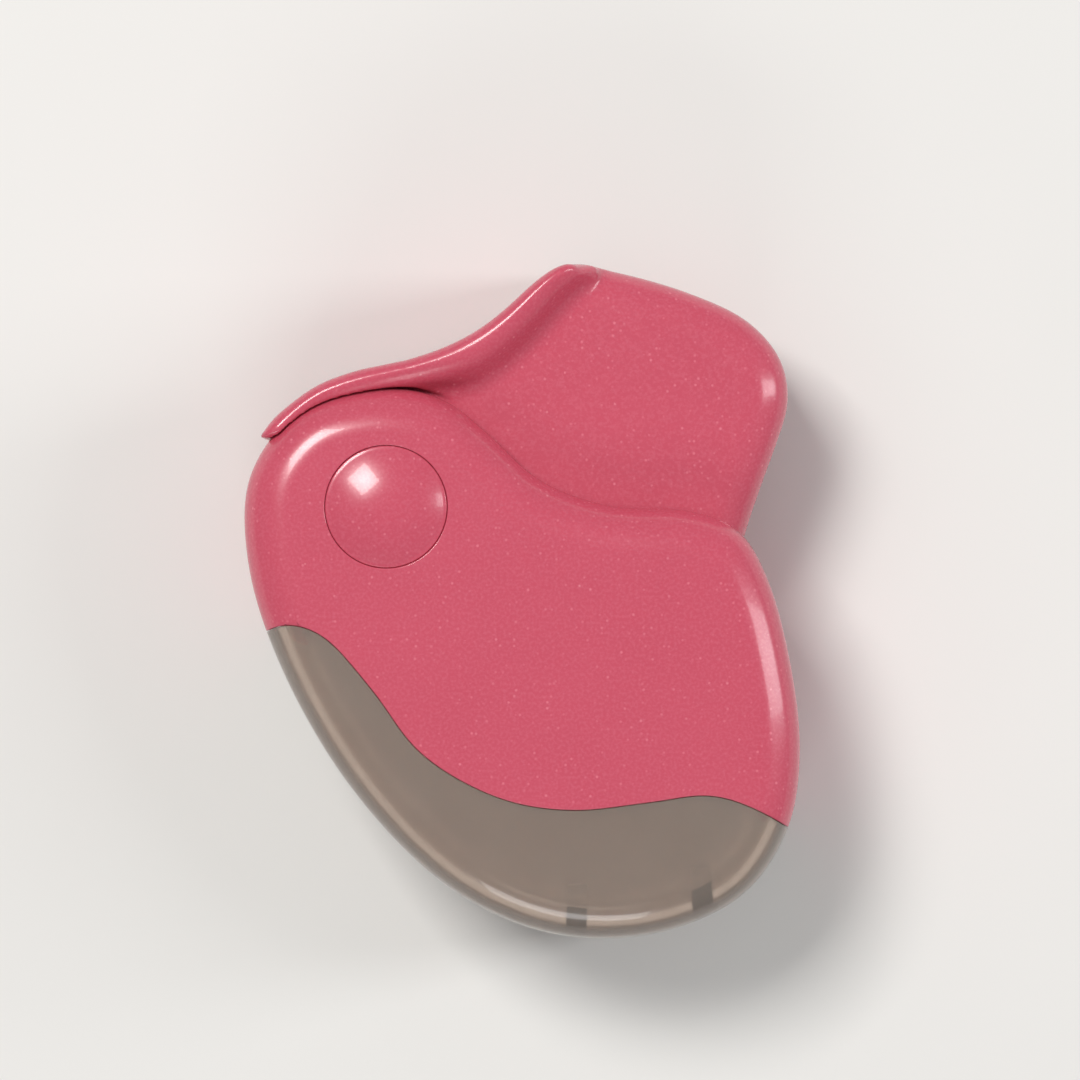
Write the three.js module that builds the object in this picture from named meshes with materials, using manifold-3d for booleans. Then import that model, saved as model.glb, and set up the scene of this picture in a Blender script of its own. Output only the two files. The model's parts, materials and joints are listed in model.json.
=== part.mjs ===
// Corner rounder: a palm-size squeeze punch that rounds the corners of paper and card.
// Two cheek shells hold a steel die set. A thumb lever between them drives the punch down through the paper
// slot, and the offcuts fall into a clear tray that closes the underside.
//
// Millimetres. The tool lies on its rear cheek: +Z is across the tool, out of the front cheek, +X points out
// of the paper mouth and +Y from the tray to the thumb lever. The origin is under the middle of the tool, on
// the plane that it rests on.
import * as THREE from "three";
import { mergeVertices } from "three/addons/utils/BufferGeometryUtils.js";
import Module from "manifold-3d";

const wasm = await Module();
wasm.setup();

// ---- Driving dimensions -------------------------------------------------------------------------

const BODY_DEPTH = 25; // across both cheeks
const MID = BODY_DEPTH / 2; // plane where the two shells meet
const WALL = 1.8; // shell and lever wall
const SEAM = 0.1; // open line between the two shells
const FIT = 0.3; // clearance between neighbouring pieces
const TRAY_GAP = 0.12; // from the wave line to the shells, and to the tray
const SHOULDER = 4.5; // width of the rounded edge round each cheek
const SHOULDER_DROP = 4; // and its height
const OUTLINE_STEPS = 88; // facets round the body

const PIVOT = { x: -13.55, y: 9.45 }; // lever axis
const PIN_R = 2;
const CAP_R = 6.1; // cap over each end of the lever pin
const CAP_RISE = 1.3; // height of the front cap's dome
const RECESS_DEPTH = 1.4; // of the seat that each cap lies in

const PRESS = 8; // degrees that the lever swings down
const LEVER_DEPTH = 14.4; // across the lever's web
const LEVER_LOW = MID - LEVER_DEPTH / 2;
const LEVER_HIGH = MID + LEVER_DEPTH / 2;
const FLANGE_DEPTH = 22; // across the thumb rest
const HUB_R = 6.2;

const TIP_X = 16.8; // where the tip of the paper's corner stops
const CUT_R = 5; // radius that the punch leaves on the corner
const DIE_X = [11.3, 22.8]; // the die set, front to back
const DIE_Z = [5, 20];
const SLOT_Y = [-5.4, -4.4]; // the gap that the paper slides into
const DIE_BOTTOM = -9.4;
const GUIDE_TOP = 0.9;
const DRIVE = { x: 15.9, y: PIVOT.y, r: 1.25 }; // cross pin that links the punch to the lever

const SPRING = { x: -2.3, bottom: -3.7, top: 7.6, coilR: 2.65, wireR: 0.38, turns: 7 };

const SHELL_SCREWS = [
  [-21.3, 0.4],
  [0.5, -14.6],
  [23.2, -16.2],
  [5, -0.6],
];
const TRAY_RIBS = [
  { x: 5.45, top: -29.3 },
  { x: 17.75, top: -27.6 },
];
const RIB_THICK = 2;

// Closed outline of both cheeks and the tray together, anticlockwise from the top of the pivot end.
const BODY_KNOTS = [
  [-14.2, 21.35], [-22.4, 19.05], [-27.3, 12.6], [-27.5, 4], [-24.4, -6.1], [-17.35, -18.4], [-8.3, -27.9],
  [0.2, -32.5], [8, -33.75], [16, -32.5], [22.6, -28.9], [26.7, -22.4], [27.8, -14.6], [26.6, -5],
  [24.5, 2.4], [21.7, 7.1], [16.8, 9.1], [8.6, 9.6], [1.6, 12.2], [-3.2, 16.6], [-8.2, 20.4],
];
// The wave along which the pink shells meet the tray, left to right, run out past the body at both ends.
const WAVE_KNOTS = [
  [-31, -8.5], [-27.4, -4.2], [-23.8, -2.3], [-20.2, -3.2], [-15.1, -8.6], [-10.1, -15.1], [-2.3, -19.55],
  [4.8, -20.75], [12.8, -19.95], [19, -19.3], [25.2, -21.7], [31, -26.3],
];
// Closed outline of the lever's lobe. Everything under and left of the thumb rest is trimmed off later.
const LEVER_KNOTS = [
  [4.3, 33.85], [1.2, 31.95], [-1.6, 29.35], [-4.7, 27], [-8.1, 25.3], [-12.1, 24], [-20.2, 21.7],
  [-24.6, 18.3], [-27, 8], [-20, -2], [-5, -8], [12, -6], [20.4, 0], [22.5, 7], [24.15, 11.85],
  [25.6, 15.85], [26.8, 20], [26.1, 24.2], [22.85, 28.1], [16.9, 31], [9, 33.25],
];
// Outer and inner edges of the thumb rest, both from its tail beside the pivot to its tip.
const REST_OUTER_KNOTS = [
  [-26.25, 16.4], [-25.2, 18], [-23.4, 19.6], [-20.6, 21.6], [-16.6, 23.1], [-12.1, 24.05], [-8.1, 25.35],
  [-4.7, 27], [-1.6, 29.35], [1.2, 32], [2.9, 33.4], [4.8, 33.85],
];
const REST_INNER_KNOTS = [
  [-23.2, 15.6], [-20, 18.6], [-14, 20.6], [-8.3, 21.9], [-4.3, 23.1], [-1.3, 25.3], [1.6, 28.2],
  [3.9, 30.8], [6.2, 32.9],
];
// What is left of the lobe: everything above its lower edge, which runs from the pivot to the paper mouth.
const LEVER_EXTENT = [
  [-19.5, 9], [-13.55, 3.25], [-6, 4.6], [2, 6.1], [12, 6.7], [21.2, 6.3], [45, 6.3], [45, 45], [-19.5, 45],
];

// ---- Outlines -----------------------------------------------------------------------------------

const curve = (knots, closed) =>
  new THREE.CatmullRomCurve3(
    knots.map(([x, y]) => new THREE.Vector3(x, y, 0)),
    closed,
    "centripetal",
  );

function ring(knots, steps) {
  return curve(knots, true)
    .getSpacedPoints(steps)
    .slice(0, steps)
    .map((p) => new THREE.Vector2(p.x, p.y));
}

function line(knots, steps) {
  return curve(knots, false)
    .getSpacedPoints(steps)
    .map((p) => new THREE.Vector2(p.x, p.y));
}

// Unit normal at each point, to the left of the way that the points run: inward on an anticlockwise ring.
function leftNormals(points, closed) {
  const last = points.length - 1;
  return points.map((p, i) => {
    const before = points[i > 0 ? i - 1 : closed ? last : 0];
    const after = points[i < last ? i + 1 : closed ? 0 : last];
    const run = after.clone().sub(before).normalize();
    return new THREE.Vector2(-run.y, run.x);
  });
}

function moved(points, distance, closed = true) {
  const normals = leftNormals(points, closed);
  return points.map((p, i) => p.clone().addScaledVector(normals[i], distance));
}

const polygon = (corners) => corners.map(([x, y]) => new THREE.Vector2(x, y));

// ---- Solids -------------------------------------------------------------------------------------

function solid(geometry) {
  const bare = geometry.index ? geometry.toNonIndexed() : geometry;
  for (const name of Object.keys(bare.attributes)) {
    if (name !== "position") bare.deleteAttribute(name);
  }
  const merged = mergeVertices(bare, 1e-4);
  return new wasm.Manifold(
    new wasm.Mesh({
      numProp: 3,
      vertProperties: merged.attributes.position.array,
      triVerts: new Uint32Array(merged.index.array),
    }),
  );
}

const join = (first, ...others) => others.reduce((made, other) => made.add(other), first);
const cut = (first, ...others) => others.reduce((made, other) => made.subtract(other), first);

// A flat outline raised from z0 to z1, with its two face edges rounded by width across and drop down.
function slab(points, z0, z1, width = 0, drop = 0, segments = 3) {
  const geometry = new THREE.ExtrudeGeometry(new THREE.Shape(points), {
    depth: z1 - z0 - 2 * drop,
    bevelEnabled: width > 0,
    bevelSize: width,
    bevelOffset: -width,
    bevelThickness: drop,
    bevelSegments: segments,
  });
  return solid(geometry.translate(0, 0, z0 + drop));
}

// An outline drawn in x and z, raised along +Y from y0 to y1.
function upright(corners, y0, y1) {
  const shape = new THREE.Shape(corners.map(([x, z]) => new THREE.Vector2(x, z)));
  const geometry = new THREE.ExtrudeGeometry(shape, { depth: y1 - y0, bevelEnabled: false });
  return solid(geometry.rotateX(Math.PI / 2).translate(0, y1, 0));
}

function block([x0, x1], [y0, y1], [z0, z1]) {
  const box = new THREE.BoxGeometry(x1 - x0, y1 - y0, z1 - z0);
  return solid(box.translate((x0 + x1) / 2, (y0 + y1) / 2, (z0 + z1) / 2));
}

function rod(x, y, r, z0, z1, sides = 32) {
  const cylinder = new THREE.CylinderGeometry(r, r, z1 - z0, sides).rotateX(Math.PI / 2);
  return solid(cylinder.translate(x, y, (z0 + z1) / 2));
}

function post(x, z, r, y0, y1, sides = 24) {
  const cylinder = new THREE.CylinderGeometry(r, r, y1 - y0, sides);
  return solid(cylinder.translate(x, (y0 + y1) / 2, z));
}

// ---- Shared body forms --------------------------------------------------------------------------

const bodyRing = ring(BODY_KNOTS, OUTLINE_STEPS);
const wave = line(WAVE_KNOTS, 46);
const FAR = 45; // beyond the object on every side

// The body's form, taken in by inset all over.
function bodyForm(inset) {
  const width = Math.max(1.6, SHOULDER - inset);
  const drop = Math.max(1.4, SHOULDER_DROP - inset * 0.7);
  return slab(moved(bodyRing, inset), inset, BODY_DEPTH - inset, width, drop);
}

// Everything above the wave, moved up by rise, or everything below it.
function aboveWave(rise) {
  const edge = moved(wave, rise, false);
  return slab([...edge, new THREE.Vector2(FAR, FAR), new THREE.Vector2(-FAR, FAR)], -5, 35);
}

function belowWave(rise) {
  const edge = moved(wave, rise, false);
  return slab([...edge, new THREE.Vector2(FAR, -FAR), new THREE.Vector2(-FAR, -FAR)], -5, 35);
}

const waveBand = (low, high) => aboveWave(low).subtract(aboveWave(high));

// Where the lever passes out between the cheeks, at the top and beside the paper mouth.
const LEVER_OPENING_Z = [LEVER_LOW - 0.4, LEVER_HIGH + 0.4];
const leverOpening = slab(
  polygon([[-20, 14.4], [-8, 5], [20, 2.2], [FAR, 2.2], [FAR, FAR], [-20, FAR]]),
  ...LEVER_OPENING_Z,
);

// The paper's way in: straight at the die set, flared at the skin.
const paperMouth = slab(
  polygon([[21, -5.5], [24.4, -5.5], [28.6, -7.2], [28.6, -2.6], [24.4, -4.3], [21, -4.3]]),
  4.6,
  20.4,
);

// ---- Shells -------------------------------------------------------------------------------------

const BOSS_R = 2.9;
const PARTITION_X = [9.4, 11]; // wall behind the die set and the chute
const SHELF_Y = [-11.3, -9.7]; // shelf under the die set
const CRADLE_X = [12.2, 17, 21.2]; // ribs that hold the die set from both sides
const HEEL_RIBS = [[6.4, 8], [12, 13.6]]; // stops under and over the lever's heel
const LIP_THICK = 1.1; // of the tongues that the tray snaps over, one along each side wall
const LIP_Z = [4.6, 20.4];

// What both shells share, over the whole depth: walls, floor, lip, ribs and bosses.
function casing() {
  const outside = bodyForm(0);
  const cavity = bodyForm(WALL);
  const inside = bodyForm(WALL / 2);
  const whole = [0, BODY_DEPTH];

  const skin = outside.subtract(cavity).intersect(aboveWave(TRAY_GAP));
  const floor = inside.intersect(waveBand(TRAY_GAP, 1.6));
  const chuteHole = block([PARTITION_X[1], 24.4], [-26, -14], [4.6, 20.4]);
  const lip = bodyForm(WALL + FIT)
    .subtract(bodyForm(WALL + FIT + LIP_THICK))
    .intersect(waveBand(-1.9, 0.8))
    .intersect(block([-FAR, FAR], [-FAR, FAR], LIP_Z));

  const cradleY = [SHELF_Y[1], GUIDE_TOP - 0.2];
  const ribs = join(
    block(PARTITION_X, [-22, 2], whole),
    block([PARTITION_X[0], 26], SHELF_Y, whole),
    ...HEEL_RIBS.map((span) => block([-27, -20.3], span, whole)),
    ...CRADLE_X.map((x) => block([x, x + 1.2], cradleY, [0, DIE_Z[0] - 0.2])),
    ...CRADLE_X.map((x) => block([x, x + 1.2], cradleY, [DIE_Z[1] + 0.2, BODY_DEPTH])),
  );
  const shelfHole = block([13.4, 21.4], [-12, -9], [7, 18]);
  const bosses = join(...SHELL_SCREWS.map(([x, y]) => rod(x, y, BOSS_R, 0, BODY_DEPTH, 24)));
  const pivotPads = join(
    rod(PIVOT.x, PIVOT.y, CAP_R + 1.4, 0, LEVER_LOW - 0.4, 40),
    rod(PIVOT.x, PIVOT.y, CAP_R + 1.4, LEVER_HIGH + 0.4, BODY_DEPTH, 40),
  );
  const inner = join(ribs.subtract(shelfHole), bosses, pivotPads)
    .intersect(inside)
    .intersect(aboveWave(TRAY_GAP));
  return cut(join(skin, floor, inner, lip), chuteHole, leverOpening, paperMouth);
}

const bothShells = casing();

// A spring seat across the rear shell, under the lever.
function springSeat() {
  const foot = SPRING.bottom - 0.3;
  const shelf = block([SPRING.x - 4, SPRING.x + 4], [foot - 1.8, foot], [1, 22.6]);
  return shelf.add(post(SPRING.x, MID, 1.9, SPRING.bottom - 0.4, SPRING.bottom + 2.2));
}

function frontShell() {
  const half = bothShells.intersect(block([-FAR, FAR], [-FAR, FAR], [MID + SEAM / 2, 40]));
  const pilots = SHELL_SCREWS.map(([x, y]) => rod(x, y, 1.15, 5, 18.5, 16));
  const capSeat = rod(PIVOT.x, PIVOT.y, CAP_R + 0.22, BODY_DEPTH - RECESS_DEPTH, 30, 48);
  const stemHole = rod(PIVOT.x, PIVOT.y, 2.9, 22, 30, 32);
  const pinHole = rod(PIVOT.x, PIVOT.y, PIN_R + 0.1, 10, 30, 32);
  return cut(half, ...pilots, capSeat, stemHole, pinHole);
}

function rearShell() {
  const half = bothShells.intersect(block([-FAR, FAR], [-FAR, FAR], [-5, MID - SEAM / 2]));
  const screwHoles = SHELL_SCREWS.map(([x, y]) => rod(x, y, 1.25, -1, 15, 16));
  const counterbores = SHELL_SCREWS.map(([x, y]) => rod(x, y, 2.3, -1, 2.2, 24));
  const capSeat = rod(PIVOT.x, PIVOT.y, CAP_R + 0.22, -5, RECESS_DEPTH, 48);
  const stemHole = rod(PIVOT.x, PIVOT.y, 2.9, -5, 3, 32);
  const pinHole = rod(PIVOT.x, PIVOT.y, PIN_R + 0.1, -5, 15, 32);
  return cut(half.add(springSeat()), ...screwHoles, ...counterbores, capSeat, stemHole, pinHole);
}

// ---- Tray ---------------------------------------------------------------------------------------

function chipTray() {
  const skin = bodyForm(0).subtract(bodyForm(WALL)).intersect(belowWave(-TRAY_GAP));
  const half = RIB_THICK / 2;
  const ribZ = [WALL + FIT, BODY_DEPTH - WALL - FIT];
  const ribs = TRAY_RIBS.map(({ x, top }) => block([x - half, x + half], [-FAR, top], ribZ));
  return skin.add(join(...ribs).intersect(bodyForm(WALL / 2)));
}

// ---- Lever --------------------------------------------------------------------------------------

// The thumb rest: a strip along the flange's outer edge, hollowed to ride round the pivot end of the body.
function thumbRest() {
  const edge = [...line(REST_OUTER_KNOTS, 32), ...line(REST_INNER_KNOTS, 24).reverse()];
  const low = MID - FLANGE_DEPTH / 2;
  const strip = slab(edge, low, low + FLANGE_DEPTH, 0.7, 0.9, 3);
  const near = moved(bodyRing, -1.5 * FIT);
  const centre = new THREE.Vector2(PIVOT.x, PIVOT.y);
  const swing = THREE.MathUtils.degToRad(PRESS);
  const nearWhenPressed = near.map((p) => p.clone().rotateAround(centre, swing));
  return cut(strip, slab(near, -5, 35), slab(nearWhenPressed, -5, 35));
}

function lever() {
  const lobe = ring(LEVER_KNOTS, 76);
  const extent = slab(polygon(LEVER_EXTENT), 0, BODY_DEPTH);
  const web = slab(lobe, LEVER_LOW, LEVER_HIGH, 3.5, 3).intersect(extent);
  const insideZ = [LEVER_LOW + WALL, LEVER_HIGH - WALL];
  const cavity = slab(moved(lobe, WALL), ...insideZ, 1.6, 1.4, 2).intersect(
    block([-6.2, FAR], [1, FAR], [0, BODY_DEPTH]),
  );
  const hub = rod(PIVOT.x, PIVOT.y, HUB_R, LEVER_LOW, LEVER_HIGH, 40);
  const heel = block([-23, -14], [8.3, 10.5], insideZ);
  const seat = block([-6.6, 2], [SPRING.top + 0.3, SPRING.top + 2], insideZ);
  const peg = post(SPRING.x, MID, 1.9, SPRING.top - 2.2, SPRING.top + 0.4);
  const boss = [0.5, 0.9]; // sunk into the web's wall, and standing proud of it
  const pinBosses = [
    rod(DRIVE.x, DRIVE.y, 2.4, insideZ[0] - boss[0], insideZ[0] + boss[1], 24),
    rod(DRIVE.x, DRIVE.y, 2.4, insideZ[1] - boss[1], insideZ[1] + boss[0], 24),
  ];
  const insideLobe = slab(moved(lobe, WALL / 2), 0, BODY_DEPTH);
  const stiffener = block([7.4, 8.8], [7, 31.5], insideZ).intersect(insideLobe);
  const body = join(web.subtract(cavity), thumbRest(), hub, heel, seat, peg, stiffener, ...pinBosses);
  const pinHole = rod(PIVOT.x, PIVOT.y, PIN_R + 0.08, 0, BODY_DEPTH, 64);
  const driveHole = rod(DRIVE.x, DRIVE.y, DRIVE.r + 0.1, LEVER_LOW + 0.7, LEVER_HIGH - 0.7, 32);
  return cut(body, pinHole, driveHole);
}

// ---- Die set ------------------------------------------------------------------------------------

const PUNCH_BACK = 14.8;
const PUNCH_HALF = 4.2; // half the punch's width across the tool
const ARC_X = TIP_X + CUT_R * Math.SQRT2; // centre of the rounded corner

// The punch's section in x and z: a block whose front is hollowed to the corner radius.
function punchSection(grow) {
  const reach = CUT_R - grow; // the hollow shrinks as the section grows
  const half = PUNCH_HALF + grow;
  const edge = Math.PI / 4; // half the angle that the hollow spans
  const steps = 12;
  const arc = Array.from({ length: steps + 1 }, (_, i) => {
    const angle = edge - (2 * edge * i) / steps;
    return [ARC_X - reach * Math.cos(angle), MID + reach * Math.sin(angle)];
  });
  const hornX = ARC_X - reach * Math.cos(edge) + (half - reach * Math.sin(edge));
  const back = PUNCH_BACK - grow;
  return [[back, MID - half], [back, MID + half], [hornX, MID + half], ...arc, [hornX, MID - half]];
}

const DIE_SCREWS_Z = [7, 18];
const DOWELS_Z = [10.4, 14.6];
const FIXING_X = 12.9; // row of screws and dowels behind the punch

function fixingHoles(y0, y1) {
  return [
    ...DIE_SCREWS_Z.map((z) => post(FIXING_X, z, 0.95, y0, y1, 20)),
    ...DOWELS_Z.map((z) => post(FIXING_X, z, 0.75, y0, y1, 20)),
  ];
}

function punchGuide() {
  const body = block(DIE_X, [SLOT_Y[1], GUIDE_TOP], DIE_Z);
  const seats = DIE_SCREWS_Z.map((z) => post(FIXING_X, z, 1.45, GUIDE_TOP - 1.3, GUIDE_TOP + 1, 20));
  return cut(body, upright(punchSection(0.14), -6, 4), ...fixingHoles(-6, 4), ...seats);
}

function diePlate() {
  const body = block(DIE_X, [DIE_BOTTOM, SLOT_Y[0]], DIE_Z);
  const relief = upright(punchSection(0.5), DIE_BOTTOM - 1, DIE_BOTTOM + 1.8);
  return cut(body, upright(punchSection(0.14), -11, -5), relief, ...fixingHoles(-11, -5));
}

// A thin plate between guide and die: it makes the paper slot, and its slanted tips line the corner up.
function paperFence() {
  const half = PUNCH_HALF + 0.3;
  const back = PUNCH_BACK - 0.3;
  const tipIn = TIP_X + half;
  const tipOut = DIE_X[1] - TIP_X;
  const notch = [
    [DIE_X[1], MID - tipOut], [tipIn, MID - half], [back, MID - half],
    [back, MID + half], [tipIn, MID + half], [DIE_X[1], MID + tipOut],
  ];
  const corners = [
    [DIE_X[0], DIE_Z[0]], [DIE_X[1], DIE_Z[0]], ...notch, [DIE_X[1], DIE_Z[1]], [DIE_X[0], DIE_Z[1]],
  ];
  return cut(upright(corners, SLOT_Y[0] + 0.05, SLOT_Y[1] - 0.05), ...fixingHoles(-6, -4));
}

function punch() {
  const bottom = SLOT_Y[1] + 0.4;
  const blade = upright(punchSection(0), bottom, 1);
  const stem = block([PUNCH_BACK, 18.2], [0.5, 7], [MID - PUNCH_HALF, MID + PUNCH_HALF]);
  const head = block([13, 18.4], [6.4, 12.2], [MID - PUNCH_HALF, MID + PUNCH_HALF]);
  const reach = DRIVE.r + 0.3;
  const slot = join(
    block([DRIVE.x - 0.35, DRIVE.x], [DRIVE.y - reach, DRIVE.y + reach], [0, 25]),
    rod(DRIVE.x, DRIVE.y, reach, 0, 25, 32),
    rod(DRIVE.x - 0.35, DRIVE.y, reach, 0, 25, 32),
  );
  return join(blade, stem, head).subtract(slot);
}

// ---- Small parts --------------------------------------------------------------------------------

// A cap for the lever pin: a disc with a stem. The dome rises on the side away from the stem.
function pinCap(rise, stem) {
  const disc = RECESS_DEPTH - 0.2;
  const dome = Array.from({ length: 7 }, (_, i) => {
    const t = 1 - i / 6;
    return new THREE.Vector2(CAP_R * t, disc + rise * (1 - t * t));
  });
  const underside = [[0, -stem], [2.7, -stem], [2.7, 0], [CAP_R, 0]];
  const profile = [...polygon(underside), ...(rise > 0 ? dome : polygon([[CAP_R, disc], [0, disc]]))];
  return solid(new THREE.LatheGeometry(profile, 48).rotateX(Math.PI / 2));
}

// A pan-head self-tapping screw that points up +Z, its head's outer face at z = 0.
function shellScrew() {
  const profile = [
    [0, 0], [1.5, 0], [2.05, 0.5], [2.05, 1.4], [1.05, 1.4], [1.05, 14.6], [0.3, 16.2], [0, 16.2],
  ].map(([r, z]) => new THREE.Vector2(r, z));
  const turned = solid(new THREE.LatheGeometry(profile, 20).rotateX(Math.PI / 2));
  const bar = (a, b) => block([-a, a], [-b, b], [-1, 0.8]);
  return cut(turned, bar(1.2, 0.28), bar(0.28, 1.2));
}

// A small countersunk screw that points down -Y, its head's face at y = 0.
function dieScrew(length) {
  const profile = [[0, -length], [0.85, -length], [0.85, -1], [1.35, -0.5], [1.35, 0], [0, 0]].map(
    ([r, y]) => new THREE.Vector2(r, y),
  );
  return cut(solid(new THREE.LatheGeometry(profile, 20)), block([-1, 1], [-0.5, 1], [-0.2, 0.2]));
}

class Helix extends THREE.Curve {
  constructor(radius, height, turns) {
    super();
    Object.assign(this, { radius, height, turns });
  }
  getPoint(t, target = new THREE.Vector3()) {
    const angle = t * this.turns * 2 * Math.PI;
    return target.set(this.radius * Math.cos(angle), this.height * t, this.radius * Math.sin(angle));
  }
}

function returnSpring() {
  const { coilR, wireR, turns, bottom, top } = SPRING;
  const section = new THREE.Shape();
  section.absarc(0, 0, wireR, 0, 2 * Math.PI);
  const geometry = new THREE.ExtrudeGeometry(section, {
    steps: turns * 12,
    curveSegments: 4,
    extrudePath: new Helix(coilR, top - bottom - 2 * wireR, turns),
  });
  return solid(geometry.translate(SPRING.x, bottom + wireR, MID));
}

// ---- Assembly -----------------------------------------------------------------------------------

const finish = (color, roughness, metalness, extra = {}) =>
  new THREE.MeshStandardMaterial({ color, roughness, metalness, ...extra });
const PINK = finish(0xd2607a, 0.35, 0);
const SMOKE = finish(0x9a8880, 0.3, 0, { transparent: true, opacity: 0.6 });
const STEEL = finish(0xb9bcc0, 0.3, 1);
const TOOL_STEEL = finish(0x8c9095, 0.35, 1);
const ZINC = finish(0x9fa3a8, 0.5, 1);

const root = new THREE.Group();

function place(name, made, material, x = 0, y = 0, z = 0) {
  const raw = made.getMesh();
  const geometry = new THREE.BufferGeometry();
  geometry.setAttribute("position", new THREE.BufferAttribute(raw.vertProperties, 3));
  geometry.setIndex(new THREE.BufferAttribute(raw.triVerts, 1));
  geometry.computeVertexNormals();
  const mesh = new THREE.Mesh(geometry, material);
  mesh.name = name;
  mesh.position.set(x, y, z);
  root.add(mesh);
  return mesh;
}

place("front_shell", frontShell(), PINK);
place("rear_shell", rearShell(), PINK);
place("lever", lever(), PINK);
place("chip_tray", chipTray(), SMOKE);
place("pivot_cap_front", pinCap(CAP_RISE, 1.4), PINK, PIVOT.x, PIVOT.y, BODY_DEPTH - RECESS_DEPTH + 0.1);
place("pivot_cap_rear", pinCap(0, 1.4), PINK, PIVOT.x, PIVOT.y, RECESS_DEPTH - 0.1).rotation.x = Math.PI;
place("pivot_pin", rod(0, 0, PIN_R, 3.2, BODY_DEPTH - 3.2, 64), STEEL, PIVOT.x, PIVOT.y);

place("punch", punch(), TOOL_STEEL);
const driveRod = rod(0, 0, DRIVE.r, LEVER_LOW + 0.9, LEVER_HIGH - 0.9, 24);
place("punch_drive_pin", driveRod, STEEL, DRIVE.x, DRIVE.y);
place("punch_guide", punchGuide(), ZINC);
place("paper_fence", paperFence(), STEEL);
place("die_plate", diePlate(), TOOL_STEEL);
DIE_SCREWS_Z.forEach((z, i) => {
  place(`die_screw_${i + 1}`, dieScrew(9.6), STEEL, FIXING_X, GUIDE_TOP - 0.2, z);
});
DOWELS_Z.forEach((z, i) => {
  const dowel = post(0, 0, 0.65, DIE_BOTTOM + 0.4, GUIDE_TOP - 0.3, 16);
  place(`die_dowel_${i + 1}`, dowel, STEEL, FIXING_X, 0, z);
});

place("return_spring", returnSpring(), STEEL);
SHELL_SCREWS.forEach(([x, y], i) => {
  place(`shell_screw_${i + 1}`, shellScrew(), STEEL, x, y, 0.7);
});

export default root;
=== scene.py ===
"""Corner rounder: smooth plastic pieces, finishes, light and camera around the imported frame.

The CAD says where everything is. Meshes are made here in millimetres, then scaled to metres and given to
the body that carries them. The steel die set keeps its CAD shape and gets a finish.
"""

import json
import math
from itertools import product

import bmesh
import bpy
import numpy as np
from mathutils import Matrix, Vector


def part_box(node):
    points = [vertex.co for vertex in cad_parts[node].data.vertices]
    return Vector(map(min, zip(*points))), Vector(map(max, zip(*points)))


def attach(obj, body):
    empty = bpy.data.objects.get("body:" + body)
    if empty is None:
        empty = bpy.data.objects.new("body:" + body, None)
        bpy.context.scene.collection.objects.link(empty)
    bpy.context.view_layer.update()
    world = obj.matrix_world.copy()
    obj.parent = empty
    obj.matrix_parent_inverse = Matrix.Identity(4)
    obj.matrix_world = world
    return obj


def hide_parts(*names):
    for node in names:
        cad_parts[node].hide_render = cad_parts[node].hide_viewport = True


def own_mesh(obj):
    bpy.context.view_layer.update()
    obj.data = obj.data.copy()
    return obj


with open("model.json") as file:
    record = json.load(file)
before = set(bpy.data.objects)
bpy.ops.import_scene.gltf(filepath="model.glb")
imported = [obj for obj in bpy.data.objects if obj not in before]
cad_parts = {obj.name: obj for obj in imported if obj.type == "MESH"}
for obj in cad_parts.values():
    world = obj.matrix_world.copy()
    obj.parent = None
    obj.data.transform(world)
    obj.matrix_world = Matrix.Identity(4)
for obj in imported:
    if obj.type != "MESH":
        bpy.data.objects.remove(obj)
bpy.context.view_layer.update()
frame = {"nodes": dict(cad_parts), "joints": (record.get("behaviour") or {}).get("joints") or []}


# ---- Sizes, in millimetres, from the frame -------------------------------------------------------

def box_mm(node):
    low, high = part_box(node)
    return low * 1000, high * 1000


def centre_mm(node):
    low, high = box_mm(node)
    return (low + high) / 2


def radius_mm(node):
    """The radius of a round node whose axis lies along Z."""
    low, high = box_mm(node)
    return (high.x - low.x) / 2


def joint(name):
    return next(j for j in frame["joints"] if j["name"] == name)


DEPTH = box_mm("chip_tray")[1].z  # across both cheeks
MID = DEPTH / 2
PIVOT = Vector(joint("lever_press")["pos_m"]) * 1000
PRESS = math.radians(joint("lever_press")["range_deg"][1])
CAP_LOW, CAP_HIGH = box_mm("pivot_cap_front")
CAP_R = radius_mm("pivot_cap_front")
REST_HALF = box_mm("lever")[1].z - MID  # half the thumb rest's width across the tool
SPRING_LOW, SPRING_HIGH = box_mm("return_spring")
SPRING = centre_mm("return_spring")
GUIDE_LOW, GUIDE_HIGH = box_mm("punch_guide")
DIE_LOW = box_mm("die_plate")[0]
PIN_R = radius_mm("pivot_pin")
DRIVE = centre_mm("punch_drive_pin").xy
DRIVE_R = radius_mm("punch_drive_pin")
SCREW_NODES = [f"shell_screw_{i}" for i in range(1, 5)]
SCREWS = [centre_mm(node).xy for node in SCREW_NODES]

WALL = 1.8
SKIN = 0.03  # how far the finished skins lie inside the CAD's faces
SHOULDER, SHOULDER_DROP = 4.5, 4.0  # width and height of the rounded edge round each cheek
WEB_HALF = 7.2  # half the thickness of the lever's web, its part inside and between the cheeks
OPENING = WEB_HALF + 0.4  # half the height of the slot that the lever moves in
MOUTH = (4.6, DEPTH - 4.6)  # paper mouth and offcut chute, across the tool
CAP_SEAT = 1.4  # how deep the caps are let into the cheeks
PIN_PLAY = 0.1  # round the pins in the plastic
SCREW_BOSS, SCREW_PILOT, SCREW_HOLE, SCREW_SEAT = 2.9, 1.15, 1.25, 2.3  # radii
TRAY_POSTS = [(5.45, -28.1), (17.75, -26.5)]  # middle and upper end of each
FAR = 45.0  # beyond the tool on every side
FRONT = 30.0  # in front of the tool
RING_STEPS = 400
COIL_STEPS = 36  # in one turn of spring or thread
ALONG_Y = Matrix.Rotation(-math.pi / 2, 4, "X")  # turns Z to Y
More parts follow.
